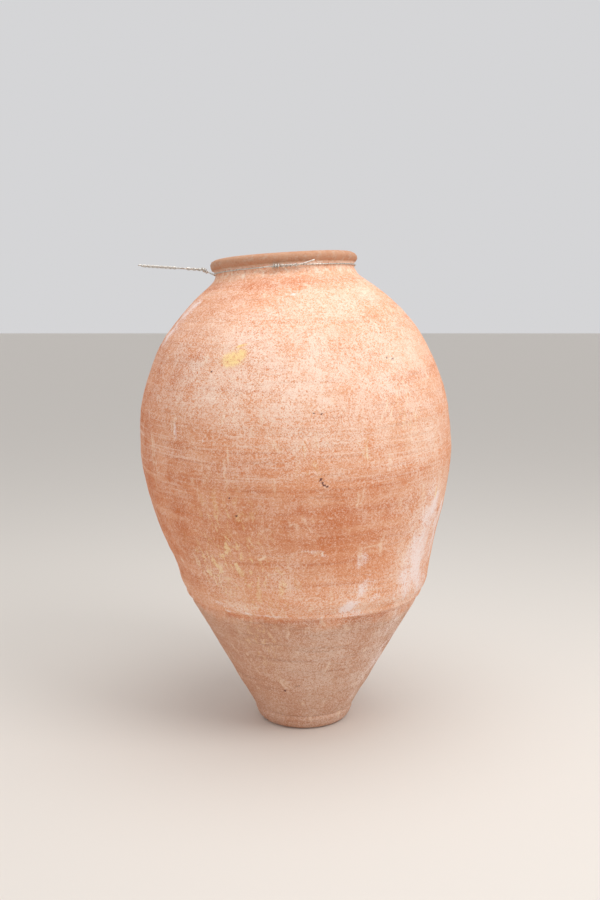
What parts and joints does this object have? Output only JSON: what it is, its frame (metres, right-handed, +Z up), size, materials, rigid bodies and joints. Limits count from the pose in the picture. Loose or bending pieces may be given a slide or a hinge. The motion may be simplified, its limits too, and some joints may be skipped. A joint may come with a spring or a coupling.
{
  "type": "storage jar amphora",
  "caption": "Tall unglazed earthenware storage jar with a narrow foot, ridged belly, rolled lip and a twisted wire tie round its neck.",
  "frame": {"origin": "centre of the foot's underside, on the floor", "axes": "+Z up; -Y is the front; the jar leans towards -X above its ridge, and the wire's tail points to -X"},
  "size_m": [0.6814, 0.677, 1.0361],
  "materials": {
    "terracotta_body": "unglazed, dusty, with a pale lime bloom",
    "terracotta_base": "unglazed, browner, with fine turning lines",
    "tie_wire": "dull galvanised, weathered"
  },
  "bodies": {
    "jar": {"foot_disc": "terracotta_base", "lower_cone": "terracotta_base", "lower_belly": "terracotta_body", "middle_belly": "terracotta_body", "upper_belly": "terracotta_body", "shoulder": "terracotta_body", "collar": "terracotta_body", "rim": "terracotta_body"},
    "neck_tie": {"neck_wire_short": "tie_wire", "neck_wire_long": "tie_wire"}
  },
  "joints": [
    {"name": "tie_turn", "type": "hinge", "parent": "jar", "child": "neck_tie", "pos_m": [-0.04265, 0, 0.9976], "axis": [-0.068, 0, 0.9977], "continuous": true}
  ]
}
